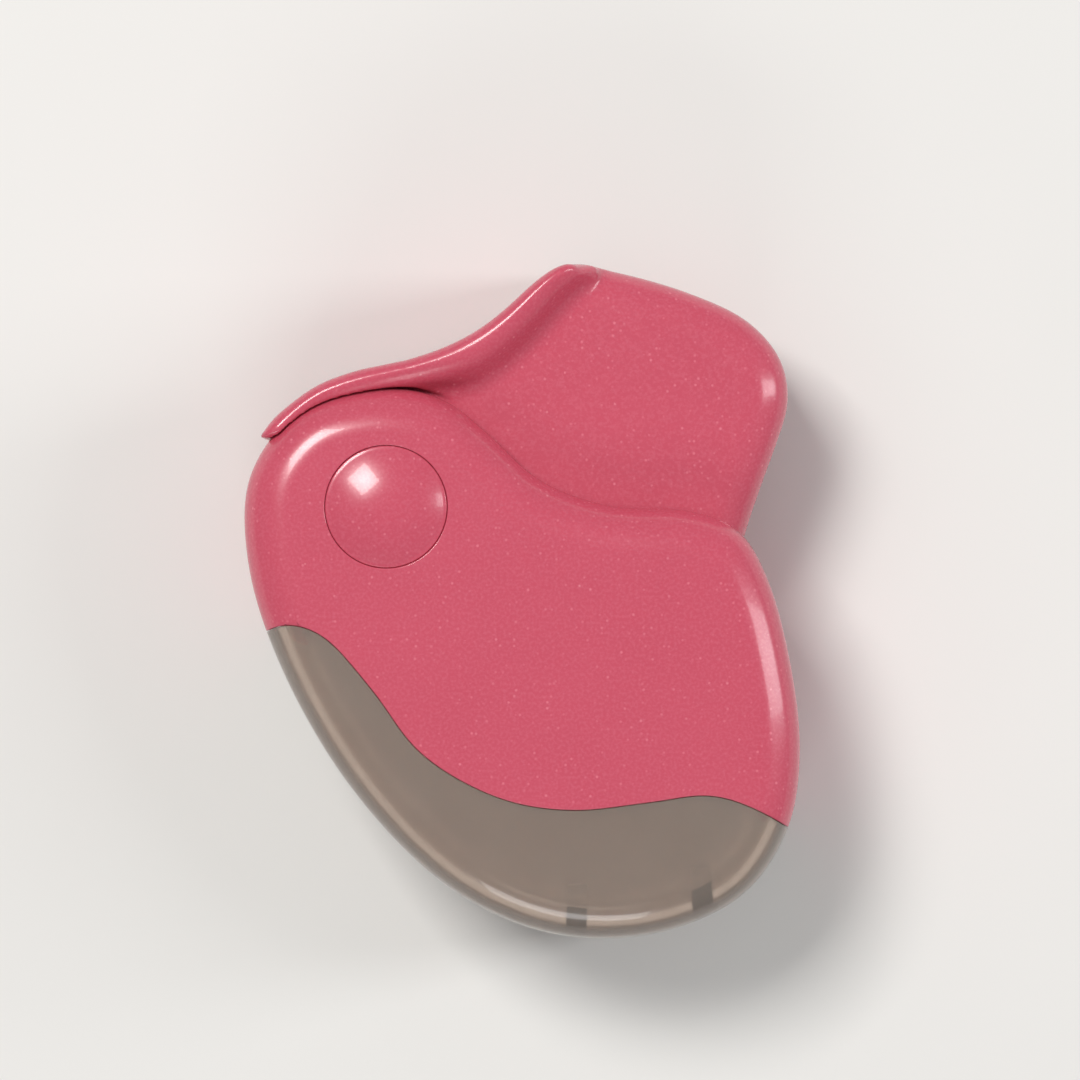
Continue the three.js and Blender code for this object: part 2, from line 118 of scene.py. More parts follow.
EDGE = 0.14  # radius on moulded edges
SHARP_ANGLE = math.radians(50)  # edges sharper than this are rounded or stay sharp

BODY_KNOTS = [
    (-14.2, 21.35), (-22.4, 19.05), (-27.3, 12.6), (-27.5, 4), (-24.4, -6.1), (-17.35, -18.4),
    (-8.3, -27.9), (0.2, -32.5), (8, -33.75), (16, -32.5), (22.6, -28.9), (26.7, -22.4),
    (27.8, -14.6), (26.6, -5), (24.5, 2.4), (21.7, 7.1), (16.8, 9.1), (8.6, 9.6), (1.6, 12.2),
    (-3.2, 16.6), (-8.2, 20.4),
]
WAVE_KNOTS = [
    (-31, -8.5), (-27.4, -4.2), (-23.8, -2.3), (-20.2, -3.2), (-15.1, -8.6), (-10.1, -15.1),
    (-2.3, -19.55), (4.8, -20.75), (12.8, -19.95), (19, -19.3), (25.2, -21.7), (31, -26.3),
]
LEVER_KNOTS = [
    (4.3, 33.85), (1.2, 31.95), (-1.6, 29.35), (-4.7, 27), (-8.1, 25.3), (-12.1, 24), (-20.2, 21.7),
    (-24.6, 18.3), (-27, 8), (-20, -2), (-5, -8), (12, -6), (20.4, 0), (22.5, 7), (24.15, 11.85),
    (25.6, 15.85), (26.8, 20), (26.1, 24.2), (22.85, 28.1), (16.9, 31), (9, 33.25),
]
REST_OUTER_KNOTS = [
    (-26.25, 16.4), (-25.2, 18), (-23.4, 19.6), (-20.6, 21.6), (-16.6, 23.1), (-12.1, 24.05),
    (-8.1, 25.35), (-4.7, 27), (-1.6, 29.35), (1.2, 32), (2.9, 33.4), (4.8, 33.85),
]
REST_INNER_KNOTS = [
    (-23.2, 15.6), (-20, 18.6), (-14, 20.6), (-8.3, 21.9), (-4.3, 23.1), (-1.3, 25.3), (1.6, 28.2),
    (3.9, 30.8), (6.2, 32.9), (8.2, 35.2),
]
# The web keeps only the part of the lobe inside this: above its lower edge, right of x = -19.5.
LEVER_EXTENT = [
    (-19.5, 9), (-13.55, 3.25), (-6, 4.6), (2, 6.1), (12, 6.7), (21.2, 6.3), (FAR, 6.3), (FAR, FAR),
    (-19.5, FAR),
]


# ---- Outlines ------------------------------------------------------------------------------------

def spline(knots, steps, closed=True, soften=0.0):
    """Evenly spaced points on the centripetal curve through the knots, smoothed over soften mm."""
    k = np.array(knots, float)
    if closed:
        padded = np.vstack([k[-1], k, k[0], k[1]])
    else:
        padded = np.vstack([2 * k[0] - k[1], k, 2 * k[-1] - k[-2]])
    t = np.linspace(0, 1, 40, endpoint=False)[:, None]
    dense = []
    for i in range(len(padded) - 3):
        p0, p1, p2, p3 = padded[i:i + 4]
        d0, d1, d2 = (math.sqrt(math.dist(a, b)) for a, b in ((p0, p1), (p1, p2), (p2, p3)))
        m1 = ((p1 - p0) / d0 - (p2 - p0) / (d0 + d1) + (p2 - p1) / d1) * d1
        m2 = ((p2 - p1) / d1 - (p3 - p1) / (d1 + d2) + (p3 - p2) / d2) * d1
        bend = (2 * p1 - 2 * p2 + m1 + m2) * t**3 + (-3 * p1 + 3 * p2 - 2 * m1 - m2) * t**2
        dense.append(bend + m1 * t + p1)
    dense.append(k[:1] if closed else k[-1:])
    points = spaced(np.vstack(dense), steps, closed)
    return softened(points, soften, closed) if soften else points


def spaced(points, steps, closed):
    """The same line cut into equal steps."""
    run = np.concatenate([[0], np.cumsum(np.linalg.norm(np.diff(points, axis=0), axis=1))])
    at = np.linspace(0, run[-1], steps + 1)
    if closed:
        at = at[:-1]
    return np.column_stack([np.interp(at, run, points[:, c]) for c in (0, 1)])


def softened(points, width, closed):
    """The points averaged with their neighbours, under a bell curve of that width."""
    step = np.linalg.norm(points[1] - points[0])
    reach = int(3 * width / step)
    weights = np.exp(-0.5 * (np.arange(-reach, reach + 1) * step / width) ** 2)
    weights /= weights.sum()
    if closed:
        padded = np.vstack([points[-reach:], points, points[:reach]])
    else:
        start = 2 * points[0] - points[1:reach + 1][::-1]
        end = 2 * points[-1] - points[-reach - 1:-1][::-1]
        padded = np.vstack([start, points, end])
    return np.column_stack([np.convolve(padded[:, c], weights, "valid") for c in (0, 1)])


def moved(points, distance, closed=True):
    """The points moved to the left of their direction: inward on an anticlockwise ring."""
    if closed:
        run = np.roll(points, -1, axis=0) - np.roll(points, 1, axis=0)
    else:
        run = np.gradient(points, axis=0)
    run /= np.linalg.norm(run, axis=1)[:, None]
    return points + distance * np.column_stack([-run[:, 1], run[:, 0]])


def circle(x, y, r, steps):
    angles = np.linspace(0, 2 * math.pi, steps, endpoint=False)
    return np.column_stack([x + r * np.cos(angles), y + r * np.sin(angles)])


# ---- Solids in millimetres -----------------------------------------------------------------------

def object_from(vertices, faces, name="tool"):
    mesh = bpy.data.meshes.new(name)
    mesh.from_pydata(vertices, [], faces)
    obj = bpy.data.objects.new(name, mesh)
    bpy.context.scene.collection.objects.link(obj)
    return obj


def loft(levels):
    """A closed solid through (outline points, height) levels of equal length, lowest first."""
    n = len(levels[0][0])
    vertices = [(x, y, z) for points, z in levels for x, y in points]
    faces = [tuple(reversed(range(n)))]
    for level in range(len(levels) - 1):
        low, high = level * n, (level + 1) * n
        faces += [(low + i, low + (i + 1) % n, high + (i + 1) % n, high + i) for i in range(n)]
    faces.append(tuple(range((len(levels) - 1) * n, len(levels) * n)))
    return object_from(vertices, faces)


def prism(points, z0, z1):
    return loft([(points, z0), (points, z1)])


def rounding(width, drop, segments):
    """Inset and rise of each level over a rounded edge, from the side wall to the face."""
    angles = [math.pi / 2 * (i + 1) / segments for i in range(segments)]
    return [(width * (1 - math.cos(a)), drop * math.sin(a)) for a in angles]


def rounded_slab(points, z0, z1, width, drop, segments):
    edge = rounding(width, drop, segments)
    low = [(moved(points, inset), z0 + drop - rise) for inset, rise in reversed(edge)]
    high = [(moved(points, inset), z1 - drop + rise) for inset, rise in edge]
    return loft([*low, (points, z0 + drop), (points, z1 - drop), *high])


def block(x, y, z):
    corners = [(x[0], y[0]), (x[1], y[0]), (x[1], y[1]), (x[0], y[1])]
    return prism(corners, *z)


def rod(x, y, r, z0, z1, steps=96):
    return prism(circle(x, y, r, steps), z0, z1)


def post(x, z, r, y0, y1):
    """A rod along Y."""
    return placed(rod(0, 0, r, y0, y1), Matrix.Translation((x, 0, z)) @ ALONG_Y)


def lathe(profile, steps=160):
    """A closed solid turned about Z from (radius, height) pairs that start and end on the axis."""
    vertices = [(0, 0, profile[0][1])]
    for r, z in profile[1:-1]:
        vertices += [(x, y, z) for x, y in circle(0, 0, r, steps)]
    vertices.append((0, 0, profile[-1][1]))
    last = len(vertices) - 1
    around = [(i, (i + 1) % steps) for i in range(steps)]
    faces = [(0, 1 + b, 1 + a) for a, b in around]
    for level in range(len(profile) - 3):
        low, high = 1 + level * steps, 1 + (level + 1) * steps
        faces += [(low + a, low + b, high + b, high + a) for a, b in around]
    top = 1 + (len(profile) - 3) * steps
    faces += [(top + a, top + b, last) for a, b in around]
    return object_from(vertices, faces)


def coil(section, radius, heights):
    """A section of (outward, upward) points swept up a helix about Z through the heights."""
    n = len(section)
    vertices = []
    for i, height in enumerate(heights):
        angle = 2 * math.pi * i / COIL_STEPS
        out_x, out_y = math.cos(angle), math.sin(angle)
        for out, up in section:
            vertices.append(((radius + out) * out_x, (radius + out) * out_y, height + up))
    faces = []
    for i in range(len(heights) - 1):
        a, b = i * n, (i + 1) * n
        faces += [(a + k, b + k, b + (k + 1) % n, a + (k + 1) % n) for k in range(n)]
    faces += [tuple(range(n)), tuple(reversed(range((len(heights) - 1) * n, len(heights) * n)))]
    made = object_from(vertices, faces)
    mesh = bmesh.new()
    mesh.from_mesh(made.data)
    bmesh.ops.recalc_face_normals(mesh, faces=mesh.faces)
    mesh.to_mesh(made.data)
    mesh.free()
    return made


def evaluated(obj):
    """The object with its modifiers applied to its mesh."""
    graph = bpy.context.evaluated_depsgraph_get()
    mesh = bpy.data.meshes.new_from_object(obj.evaluated_get(graph))
    obj.modifiers.clear()
    obj.data = mesh
    return obj


def combined(operation, base, others):
    for other in others:
        modifier = base.modifiers.new(operation, "BOOLEAN")
        modifier.operation = operation
        modifier.solver = "MANIFOLD"
        modifier.object = other
    evaluated(base)
    for other in others:
        bpy.data.objects.remove(other)
    return base


def joined(base, *others):
    return combined("UNION", base, others)


def cut(base, *others):
    return combined("DIFFERENCE", base, others)


def common(base, *others):
    return combined("INTERSECT", base, others)


def copied(obj):
    twin = obj.copy()
    twin.data = obj.data.copy()
    bpy.context.scene.collection.objects.link(twin)
    return twin


def placed(obj, matrix):
    obj.data.transform(matrix)
    return obj


def mirrored(obj):
    """The object turned into its mirror image about the middle plane."""
    placed(obj, Matrix.Translation((0, 0, DEPTH)) @ Matrix.Scale(-1, 4, (0, 0, 1)))
    obj.data.flip_normals()
    return obj


def rounded_edges(obj, width=EDGE, segments=3):
    """Rounds the sharp edges that cutting and joining left, once points closer than merge are one."""
    merge = 0.02
    mesh = bmesh.new()
    mesh.from_mesh(obj.data)
    bmesh.ops.dissolve_degenerate(mesh, edges=mesh.edges, dist=merge)
    bmesh.ops.remove_doubles(mesh, verts=mesh.verts, dist=merge)
    mesh.to_mesh(obj.data)
    mesh.free()
    bevel = obj.modifiers.new("bevel", "BEVEL")
    bevel.width = width
    bevel.segments = segments
    bevel.limit_method = "ANGLE"
    bevel.angle_limit = SHARP_ANGLE
    bevel.use_clamp_overlap = False
    return evaluated(obj)


def without_crumbs(obj, smallest=12):
    """Drops loose slivers of fewer than smallest corners that cutting left."""
    mesh = bmesh.new()
    mesh.from_mesh(obj.data)
    left = set(mesh.verts)
    while left:
        island, front = set(), [left.pop()]
        while front:
            vertex = front.pop()
            island.add(vertex)
            reached = {edge.other_vert(vertex) for edge in vertex.link_edges} & left
            left -= reached
            front += reached
        if len(island) < smallest:
            bmesh.ops.delete(mesh, geom=list(island), context="VERTS")
    mesh.to_mesh(obj.data)
    mesh.free()
    return obj


# ---- Handing a piece over ------------------------------------------------------------------------

def finished(obj, name, material, body, slot, *nodes, faceted=True):
    """Scales the piece to metres, shades it, gives it its material, hangs it on its body and hides the
    CAD nodes that it stands in for.
    """
    obj.name = name
    obj.data.name = name
    obj.data.transform(Matrix.Scale(0.001, 4))
    obj.data.materials.clear()
    obj.data.materials.append(material)
    if faceted:
        obj.data.shade_smooth()
        obj.data.set_sharp_from_angle(angle=SHARP_ANGLE)
        weighted = obj.modifiers.new("weighted", "WEIGHTED_NORMAL")
        weighted.keep_sharp = True
    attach(obj, body)
    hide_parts(*nodes)
    return obj


# ---- Materials -----------------------------------------------------------------------------------

class Look:
    """A procedural material on one Principled shader."""

    def __init__(self, name, **sockets):
        self.material = bpy.data.materials.new(name)
        self.material.use_nodes = True
        self.nodes = self.material.node_tree.nodes
        self.links = self.material.node_tree.links
        self.shader = self.nodes["Principled BSDF"]
        self.place = self.nodes.new("ShaderNodeTexCoord").outputs["Object"]
        for socket, value in sockets.items():
            self.shader.inputs[socket.replace("_", " ")].default_value = value

    def feed(self, socket, output):
        self.links.new(output, self.shader.inputs[socket])

    def noise(self, size_mm, detail=2.0, stretch=(1, 1, 1)):
        """Noise whose blobs are about size_mm across, drawn out by stretch."""
        mapping = self.nodes.new("ShaderNodeMapping")
        mapping.inputs["Scale"].default_value = [1 / s for s in stretch]
        self.links.new(self.place, mapping.inputs["Vector"])
        node = self.nodes.new("ShaderNodeTexNoise")
        node.inputs["Scale"].default_value = 1000 / size_mm
        node.inputs["Detail"].default_value = detail
        self.links.new(mapping.outputs["Vector"], node.inputs["Vector"])
        return node.outputs["Fac"]

    def specks(self, size_mm, share, spread):
        """Soft round specks in a share of cells size_mm across, each filling spread of its cell."""
        cells = self.nodes.new("ShaderNodeTexVoronoi")
        cells.inputs["Scale"].default_value = 1000 / size_mm
        self.links.new(self.place, cells.inputs["Vector"])
        chosen = self.ramp(cells.outputs["Color"], (1 - share, 0.0), (1.0, 1.0))
        near = self.ramp(cells.outputs["Distance"], (spread * 0.3, 1.0), (spread, 0.0))
        both = self.nodes.new("ShaderNodeMath")
        both.operation = "MULTIPLY"
        self.links.new(chosen, both.inputs[0])
        self.links.new(near, both.inputs[1])
        return both.outputs[0]

    def ramp(self, value, *stops):
        """A grey ramp through (position, level) stops."""
        node = self.nodes.new("ShaderNodeValToRGB")
        for element, (position, level) in zip(node.color_ramp.elements, stops):
            element.position = position
            element.color = (level, level, level, 1)
        self.links.new(value, node.inputs["Fac"])
        return node.outputs["Color"]

    def span(self, value, low, high):
        """The value, from 0 to 1, spread over low to high."""
        node = self.nodes.new("ShaderNodeMapRange")
        node.inputs["To Min"].default_value = low
        node.inputs["To Max"].default_value = high
        self.links.new(value, node.inputs["Value"])
        return node.outputs["Result"]

    def mix(self, factor, first, second):
        """One colour fading into another. Each is three numbers or another node's output."""
        node = self.nodes.new("ShaderNodeMix")
        node.data_type = "RGBA"
        self.links.new(factor, node.inputs["Factor"])
        for name, value in (("A", first), ("B", second)):
            socket = next(i for i in node.inputs if i.name == name and i.type == "RGBA")
            if isinstance(value, tuple):
                socket.default_value = (*value, 1)
            else:
                self.links.new(value, socket)
        return next(o for o in node.outputs if o.type == "RGBA")

    def absorb(self, colour, density):
        """Makes thick plastic darker than thin, by density for each metre."""
        node = self.nodes.new("ShaderNodeVolumeAbsorption")
        node.inputs["Color"].default_value = (*colour, 1)
        node.inputs["Density"].default_value = density
        self.links.new(node.outputs["Volume"], self.nodes["Material Output"].inputs["Volume"])

    def relief(self, height, depth_mm=0.006):
        """Raises the surface by up to depth_mm."""
        bump = self.nodes.new("ShaderNodeBump")
        bump.inputs["Distance"].default_value = depth_mm / 1000
        self.links.new(height, bump.inputs["Height"])
        self.feed("Normal", bump.outputs["Normal"])


def pink_plastic():
    """Glossy moulded plastic, full of a fine pearl fleck, with a painted glint on some of its flakes."""
    look = Look(
        "pink_plastic", IOR=1.5, Coat_Weight=0.25, Coat_Roughness=0.05,
        Subsurface_Weight=0.12, Subsurface_Radius=(1.0, 0.25, 0.3), Subsurface_Scale=0.0012,
    )
    cloud = look.mix(look.noise(8, 3), (0.575, 0.078, 0.128), (0.625, 0.090, 0.145))
    fine = look.ramp(look.noise(0.32, 2), (0.42, 0.0), (0.68, 0.5))
    grain = look.mix(fine, cloud, (0.66, 0.13, 0.19))
    fleck = look.mix(look.specks(0.62, 0.5, 0.30), grain, (0.76, 0.20, 0.27))
    # The brightest specks are pearl flakes whose sparkle is a painted highlight in the base colour.
    flake_and_painted_glint = look.mix(look.specks(1.9, 0.3, 0.09), fleck, (0.88, 0.38, 0.44))
    look.feed("Base Color", flake_and_painted_glint)
    look.feed("Roughness", look.span(look.noise(2.5, 4), 0.19, 0.30))
    look.relief(look.noise(1.8, 3))
    return look.material


def smoke_plastic():
    """Milky smoke-brown plastic with a glossy skin and a blurred view through it."""
    look = Look("smoke_plastic", IOR=1.46, Transmission_Weight=0.8, Coat_Weight=0.6, Coat_Roughness=0.04)
    look.feed("Base Color", look.mix(look.noise(6, 3), (0.80, 0.67, 0.58), (0.85, 0.73, 0.64)))
    look.feed("Roughness", look.span(look.noise(3, 4), 0.17, 0.26))
    look.relief(look.noise(1.8, 3))
    look.absorb((0.55, 0.42, 0.32), 130)
    return look.material


def metal(name, dark, light, roughness, size_mm, stretch):
    """Bare metal with grinding, drawing or casting marks of that size, drawn out by stretch."""
    look = Look(name, Metallic=1.0)
    marks = look.noise(size_mm, 3, stretch)
    look.feed("Base Color", look.mix(marks, dark, light))
    look.feed("Roughness", look.span(marks, *roughness))
    look.relief(marks)
    return look.material


# ---- Shells and tray -----------------------------------------------------------------------------

body_ring = spline(BODY_KNOTS, RING_STEPS, soften=1.2)
coarse_ring = body_ring[::2]  # half as many points, for inner walls and the lever's clearance
wave = spline(WAVE_KNOTS, 240, closed=False, soften=1.0)


def outer_skin():
    """Both cheeks and the tray as one rounded solid, which the wave then parts."""
    return rounded_slab(moved(body_ring, SKIN), SKIN, DEPTH - SKIN, SHOULDER, SHOULDER_DROP, 18)


def body_form(inset, segments):
    """The same solid taken in by inset, for the hollows and what stands in them."""
    width = max(1.6, SHOULDER - inset)
    drop = max(1.4, SHOULDER_DROP - inset * 0.7)
    return rounded_slab(moved(coarse_ring, inset), inset, DEPTH - inset, width, drop, segments)


def above_wave(rise):
    """Everything above the line where cheeks and tray meet, raised by rise."""
    edge = moved(wave, rise, closed=False)
    return prism(np.vstack([edge, [(FAR, FAR), (-FAR, FAR)]]), -5, DEPTH + 5)


def below_wave(rise):
    """Everything below that line, raised by rise."""
    edge = moved(wave, rise, closed=False)[::-1]
    return prism(np.vstack([edge, [(-FAR, -FAR), (FAR, -FAR)]]), -5, DEPTH + 5)


def shell_ribs(z):
    """What stands inside a shell, over the heights z."""
    wall, rib, cap_wall = 1.6, 1.2, 1.4  # thicknesses
    back = GUIDE_LOW.x - 1.9  # the wall behind the punch guide
    shelf = (DIE_LOW.y - 1.9, DIE_LOW.y - 0.3)  # the shelf that the die plate rests on
    chute_x, chute_y, chute_z = (13.4, 21.4), (shelf[0] - 1, shelf[1] + 1), (7, 18)
    cradle = ((shelf[1], GUIDE_HIGH.y - 0.2), (GUIDE_HIGH.z + 0.2, z[1]))  # ribs over the punch guide
    ribs = joined(
        block((back, back + wall), (-22, 2), z),
        block((back, 26), shelf, z),
        *[block((-27, -20.3), span, z) for span in ((6.4, 8), (12, 13.6))],
        *[block((x, x + rib), *cradle) for x in (12.2, 17, 21.2)],
        *[rod(x, y, SCREW_BOSS, *z) for x, y in SCREWS],
        rod(PIVOT.x, PIVOT.y, CAP_R + cap_wall, MID + OPENING, z[1]),
    )
    cut(ribs, block(chute_x, chute_y, chute_z))
    return common(ribs, body_form(WALL / 2, 6), above_wave(0.3))


def shell_tongues():
    """The lip inside each side wall that the tray snaps over."""
    outside, inside = WALL + 0.35, WALL + 1.45  # how far in from the body's outline
    lip = cut(body_form(outside, 6), body_form(inside, 6))
    sides = block((-FAR, FAR), (-FAR, FAR), (MID + 0.05, MOUTH[1]))
    return common(lip, above_wave(-1.7), below_wave(0.8), sides)


def lever_opening():
    """The slot between the cheeks that the lever's web moves in."""
    corners = [(-20, 14.4), (-8, 5), (20, 2.2), (FAR, 2.2), (FAR, FAR), (-20, FAR)]
    return prism(corners, MID - OPENING, MID + OPENING)


def paper_mouth():
    """The slot in the right-hand side, with its flared lips."""
    corners = [(21, -5.5), (24.4, -5.5), (28.6, -7.2), (28.6, -2.6), (24.4, -4.3), (21, -4.3)]
    return prism(corners, *MOUTH)


def cheek():
    """The front shell, hollow, with its ribs. Mirrored, it is most of the rear one."""
    seam = block((-FAR, FAR), (-FAR, FAR), (MID + SKIN, FAR))
    shell = common(outer_skin(), above_wave(SKIN), seam)
    cut(shell, common(body_form(WALL, 8), above_wave(1.6)))
    joined(shell, shell_ribs((MID + SKIN, DEPTH - 0.6)), shell_tongues())
    stem_hole, pilot_end = 2.9, 18.5
    return cut(
        shell,
        block((GUIDE_LOW.x - 0.3, 24.4), (-26, -14), MOUTH),  # the way down to the tray
        lever_opening(),
        rod(PIVOT.x, PIVOT.y, CAP_R + 0.02, DEPTH - CAP_SEAT, FRONT, 200),
        rod(PIVOT.x, PIVOT.y, stem_hole, 22, FRONT),
        rod(PIVOT.x, PIVOT.y, PIN_R + PIN_PLAY, 10, FRONT),
        *[rod(x, y, SCREW_PILOT, 5, pilot_end, 48) for x, y in SCREWS],
    )


def make_shells(pink):
    """Both cheeks. The rear one also has the spring's seat and peg and the screws' holes."""
    peg_r, peg_rise, seat_depth = 1.9, 2.2, 2.2
    front = cheek()
    rear = mirrored(copied(front))
    seat_x = (SPRING_LOW.x - 1, SPRING_HIGH.x + 1)
    seat = block(seat_x, (SPRING_LOW.y - 2.1, SPRING_LOW.y - 0.3), (1, 22.6))
    peg = post(SPRING.x, MID, peg_r, SPRING_LOW.y - 0.4, SPRING_LOW.y + peg_rise)
    joined(rear, seat, peg)
    cut(
        rear,
        *[rod(x, y, SCREW_HOLE, -1, 15, 48) for x, y in SCREWS],
        *[rod(x, y, SCREW_SEAT, -1, seat_depth, 96) for x, y in SCREWS],
    )
    for obj, name, node in ((front, "front_cheek", "front_shell"), (rear, "rear_cheek", "rear_shell")):
        cut(rounded_edges(obj), paper_mouth())
        finished(without_crumbs(obj), name, pink, "housing", "pink_plastic", node)


def make_tray(smoke):
    """The offcut tray, open at the top, with its two posts."""
    tray = cut(common(outer_skin(), below_wave(-SKIN)), body_form(WALL, 8))
    half_width, across = 1, (WALL + 0.3, DEPTH - (WALL + 0.3))
    posts = [
        common(block((x - half_width, x + half_width), (-FAR, top), across), body_form(WALL / 2, 6))
        for x, top in TRAY_POSTS
    ]
    joined(tray, *posts)
    finished(tray, "offcut_tray", smoke, "tray", "smoke_plastic", "chip_tray")


# ---- Lever: a distance field, so that thumb rest and lobe flow into each other -------------------

CELL = 0.3  # of the grid that the field is sampled on
FILLET = 1.3  # between thumb rest and lobe
REST_GAP = 0.14  # between thumb rest and cheeks
CREST_IN, FOOT_OUT = 0.9, 1.1  # how far the rest's inner wall leans to either side of its line


def distance_to(points, x, y):
    """Distance from each place to a closed outline, negative inside it."""
    best = np.full(x.shape, np.inf)
    inside = np.zeros(x.shape, bool)
    for (ax, ay), (bx, by) in zip(points, np.roll(points, -1, axis=0)):
        run_x, run_y = bx - ax, by - ay
        along = np.clip(((x - ax) * run_x + (y - ay) * run_y) / (run_x**2 + run_y**2), 0, 1)
        best = np.minimum(best, (x - ax - along * run_x) ** 2 + (y - ay - along * run_y) ** 2)
        if ay != by:
            inside ^= ((ay > y) != (by > y)) & (x < ax + run_x * (y - ay) / run_y)
    return np.where(inside, -1, 1) * np.sqrt(best)


def rounded_field(side, face, width, drop):
    """A form whose side and face meet in a rounding of that width and drop."""
    u = np.maximum(side / width + 1, 0)
    v = np.maximum(face / drop + 1, 0)
    reach = np.hypot(u, v)
    scale = (width * u**2 + drop * v**2) / np.maximum(reach, 1e-6) ** 2
    return np.where(reach > 0, (reach - 1) * scale, -min(width, drop))


def flowing(a, b, radius):
    """Two forms joined with a fillet of that radius."""
    reach = np.hypot(np.maximum(radius - a, 0), np.maximum(radius - b, 0))
    return np.maximum(radius, np.minimum(a, b)) - reach


def trimmed(a, b, radius):
    """What two forms share, with the edge between them rounded to that radius."""
    return -flowing(-a, -b, radius)


def box_field(x, y, z, low, high):
    """Distance to the nearest side of an upright box, negative inside it."""
    sides = [np.maximum(low[i] - v, v - high[i]) for i, v in enumerate((x, y, z))]
    return np.maximum(np.maximum(sides[0], sides[1]), sides[2])


def rod_field(a, b, along, centre, r, low, high):
    """Distance to a rod across the a-b plane, from low to high along it."""
    return np.maximum(np.hypot(a - centre[0], b - centre[1]) - r, np.maximum(low - along, along - high))


def rest_sides(x, y):
    """Distance to the thumb rest's outline at its foot and at its crest.

    The rest is drawn on past the lobe's upper end, and the lobe's outline trims it.
    """
    outer = spline(REST_OUTER_KNOTS, 120, closed=False, soften=1.0)
    outer = moved(outer, 3 * np.clip((outer[:, :1] + 12) / 8, 0, 1), closed=False)
    inner = spline(REST_INNER_KNOTS, 100, closed=False, soften=1.0)
    edges = [moved(inner, lean, closed=False)[::-1] for lean in (-FOOT_OUT, CREST_IN)]
    outlines = [np.vstack([outer, (5.4, 37), edge])[::-1] for edge in edges]
    return [distance_to(moved(outline, SKIN), x, y) for outline in outlines]


def turned(points, angle):
    """The points turned about the pivot, as the lever's surroundings are seen from the pressed lever."""
    turn = np.array([[math.cos(angle), math.sin(angle)], [-math.sin(angle), math.cos(angle)]])
    return (points - PIVOT.xy) @ turn + PIVOT.xy


def lever_field(x, y, z):
    """The whole lever: web and thumb rest, clear of the cheeks, hollow, with fittings and holes."""
    flat_x, flat_y = x[..., 0] + 0 * y[..., 0], y[..., 0] + 0 * x[..., 0]
    ring = moved(spline(LEVER_KNOTS, RING_STEPS, soften=1.0), SKIN)
    lobe = distance_to(ring, flat_x, flat_y)[..., None]
    extent = distance_to(np.array(LEVER_EXTENT), flat_x, flat_y)[..., None]
    rise = np.abs(z - MID)
    web = trimmed(rounded_field(lobe, rise - WEB_HALF, 4.2, 3.4), extent, 0.4)

    within = lobe - 3 * np.clip((-12 - x) / 6, 0, 1)
    corner = 1.1 * np.clip((x + 3) / 4, 0, 1)
    foot, crest = (trimmed(side[..., None], within, corner) for side in rest_sides(flat_x, flat_y))
    share = np.clip((rise - WEB_HALF) / (REST_HALF - WEB_HALF), 0, 1)
    rest = rounded_field(foot + (crest - foot) * share, rise - REST_HALF + SKIN, 1.2, 1.4)
    body = np.maximum(flowing(web, rest, FILLET), np.minimum(lobe, foot))

    # Negative where the web passes between the cheeks.
    passing = np.maximum(rise - WEB_HALF - 0.15, -19.75 - x)
    for angle in (0, PRESS / 2, PRESS):
        cheek_side = distance_to(turned(coarse_ring, angle), flat_x, flat_y)[..., None]
        near = rounded_field(cheek_side, rise - MID, SHOULDER, SHOULDER_DROP)
        body = trimmed(body, np.minimum(REST_GAP - near, passing), 0.2)

    inside = WEB_HALF - WALL
    cavity = rounded_field(lobe + WALL, rise - inside, 1.6, 1.4)
    body = np.maximum(body, -np.maximum(cavity, -6.2 - x))
    hub_r, drive_boss_r, peg_r = 6.2, 2.4, 1.4
    back, front = MID - inside, MID + inside
    peg_y, seat_y = (SPRING_HIGH.y - 2, SPRING_HIGH.y + 0.4), (SPRING_HIGH.y + 0.3, SPRING_HIGH.y + 2)
    pivot_wall = box_field(x, y, z, (-23, 8.3, back), (-14, 10.5, front))
    spring_seat = box_field(x, y, z, (-6.6, seat_y[0], back), (2, seat_y[1], front))
    middle_rib = box_field(x, y, z, (7.4, 7, back), (8.8, 31.5, front))
    fittings = [
        rod_field(x, y, rise, PIVOT.xy, hub_r, -1, WEB_HALF),
        pivot_wall,
        spring_seat,
        rod_field(x, z, y, (SPRING.x, MID), peg_r, *peg_y),
        rod_field(x, y, rise, DRIVE, drive_boss_r, inside - 0.9, inside + 0.5),
        np.maximum(middle_rib, lobe + WALL / 2),
    ]
    for fitting in fittings:
        body = np.minimum(body, fitting)
    body = np.maximum(body, PIN_R + PIN_PLAY - np.hypot(x - PIVOT.x, y - PIVOT.y))
    drive_hole = rod_field(x, y, rise, DRIVE, DRIVE_R + PIN_PLAY, -1, WEB_HALF - 0.7)
    return np.maximum(body, -drive_hole)


